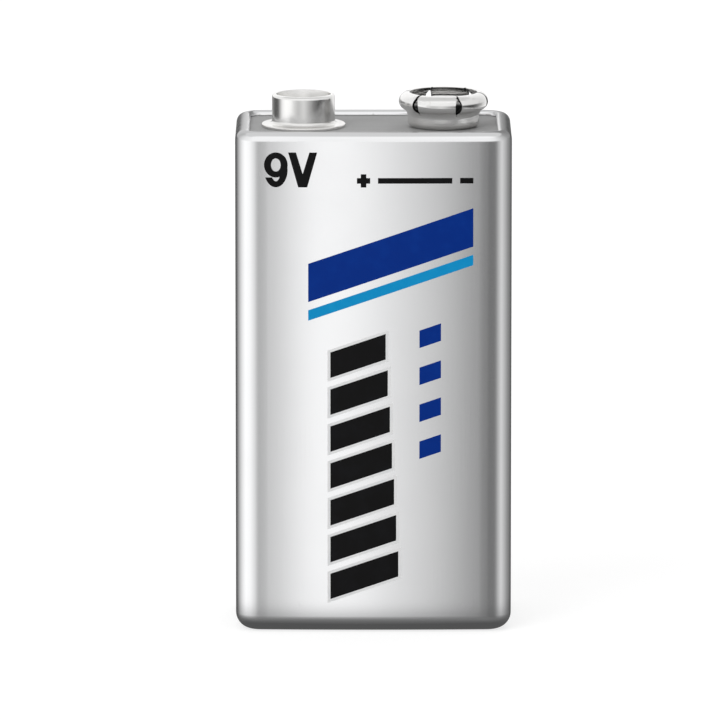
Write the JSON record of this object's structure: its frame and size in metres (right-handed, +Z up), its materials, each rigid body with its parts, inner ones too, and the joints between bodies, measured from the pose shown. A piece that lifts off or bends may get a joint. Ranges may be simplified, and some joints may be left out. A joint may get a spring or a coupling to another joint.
{
  "type": "nine volt battery",
  "caption": "Rectangular nine volt battery: a seamed steel jacket crimped over a terminal board that carries a snap stud and a spring snap socket, with sealed flat cells in series inside.",
  "frame": {"origin": "centre of the footprint, on the plane that the battery stands on", "axes": "+Z up from the base to the terminals, +X along the wide side from the positive stud to the negative socket, -Y out of the printed front"},
  "size_m": [0.025, 0.0158, 0.0485],
  "materials": {
    "jacket_steel": "satin silver over thin sheet steel",
    "terminal_nickel": "bright nickel plate",
    "board_plastic": "moulded grey insulating plastic",
    "strip_nickel": "rolled nickel strip",
    "fuse_body": "wrapped resettable fuse",
    "pouch_foil": "laminated foil, satin",
    "liner_film": "thin insulating film",
    "card": "insulating card",
    "pad_foam": "thin closed foam",
    "ink_black": "printed ink, semi-gloss",
    "ink_white": "printed ink, semi-gloss",
    "ink_dark_blue": "printed ink, semi-gloss",
    "ink_light_blue": "printed ink, semi-gloss"
  },
  "bodies": {
    "root": {"jacket": "jacket_steel", "terminal_board": "board_plastic", "base_plate": "board_plastic", "positive_stud": "terminal_nickel", "negative_socket": "terminal_nickel", "positive_rivet": "terminal_nickel", "negative_rivet": "terminal_nickel", "positive_contact": "strip_nickel", "negative_contact": "strip_nickel", "thermal_fuse": "fuse_body", "front_cell": "pouch_foil", "middle_cell": "pouch_foil", "rear_cell": "pouch_foil", "front_cell_positive_tab": "strip_nickel", "front_cell_negative_tab": "strip_nickel", "middle_cell_positive_tab": "strip_nickel", "middle_cell_negative_tab": "strip_nickel", "rear_cell_positive_tab": "strip_nickel", "rear_cell_negative_tab": "strip_nickel", "front_link": "strip_nickel", "middle_link": "strip_nickel", "insulating_card": "card", "cell_liner": "liner_film", "base_pad": "pad_foam", "front_cell_pad": "pad_foam", "middle_cell_pad": "pad_foam", "print_black": "ink_black", "print_white": "ink_white", "print_dark_blue": "ink_dark_blue", "print_light_blue": "ink_light_blue"}
  },
  "joints": []
}
